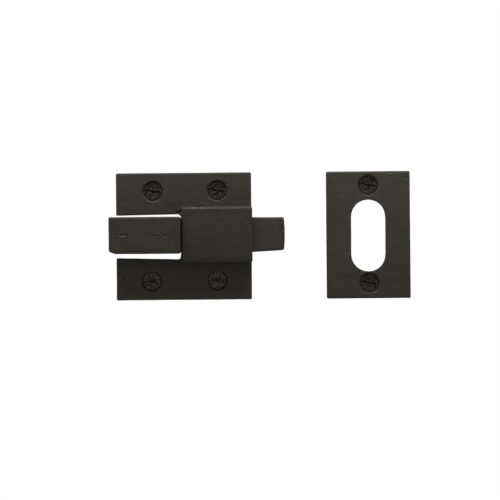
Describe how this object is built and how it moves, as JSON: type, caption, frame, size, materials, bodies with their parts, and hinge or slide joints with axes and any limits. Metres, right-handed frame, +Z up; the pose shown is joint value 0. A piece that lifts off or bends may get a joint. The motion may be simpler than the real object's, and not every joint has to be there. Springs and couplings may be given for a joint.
{
  "type": "toggle bolt latch",
  "caption": "Surface sliding bolt latch: a block grip pushes a flat bolt through a cast housing into the oblong slot of a separate strike plate.",
  "frame": {"origin": "centre of the latch plate's outline, on its back face, which lies on the door", "axes": "+X the way the bolt is thrown, +Z up, -Y out of the door towards the user"},
  "size_m": [0.1289, 0.0311, 0.0544],
  "materials": {
    "cast_iron": "satin black wax over cast iron, faintly mottled, slightly brown",
    "forged_iron": "satin black wax over hand-dressed iron, with faint dents and file marks",
    "black_screw": "blackened steel, hammered and mottled head",
    "bare_steel": "plain rolled steel with a dull oiled surface",
    "spring_steel": "blue-grey tempered spring steel"
  },
  "bodies": {
    "root": {"housing": "cast_iron", "back_plate": "bare_steel", "back_plate_rivet_1": "bare_steel", "back_plate_rivet_2": "bare_steel", "back_plate_rivet_3": "bare_steel", "back_plate_rivet_4": "bare_steel", "detent_spring": "spring_steel", "spring_rivet": "bare_steel", "housing_screw_1": "black_screw", "housing_screw_2": "black_screw", "housing_screw_3": "black_screw", "housing_screw_4": "black_screw", "strike_plate": "cast_iron", "strike_screw_1": "black_screw", "strike_screw_2": "black_screw"},
    "bolt": {"bolt_bar": "forged_iron", "toggle_grip": "forged_iron", "grip_rivet_1": "forged_iron", "grip_rivet_2": "forged_iron", "travel_stop_pin": "bare_steel"}
  },
  "joints": [
    {"name": "bolt_slide", "type": "slide", "parent": "root", "child": "bolt", "axis": [1, 0, 0], "range_m": [-0.0142, 0], "deforming": ["detent_spring"]}
  ]
}
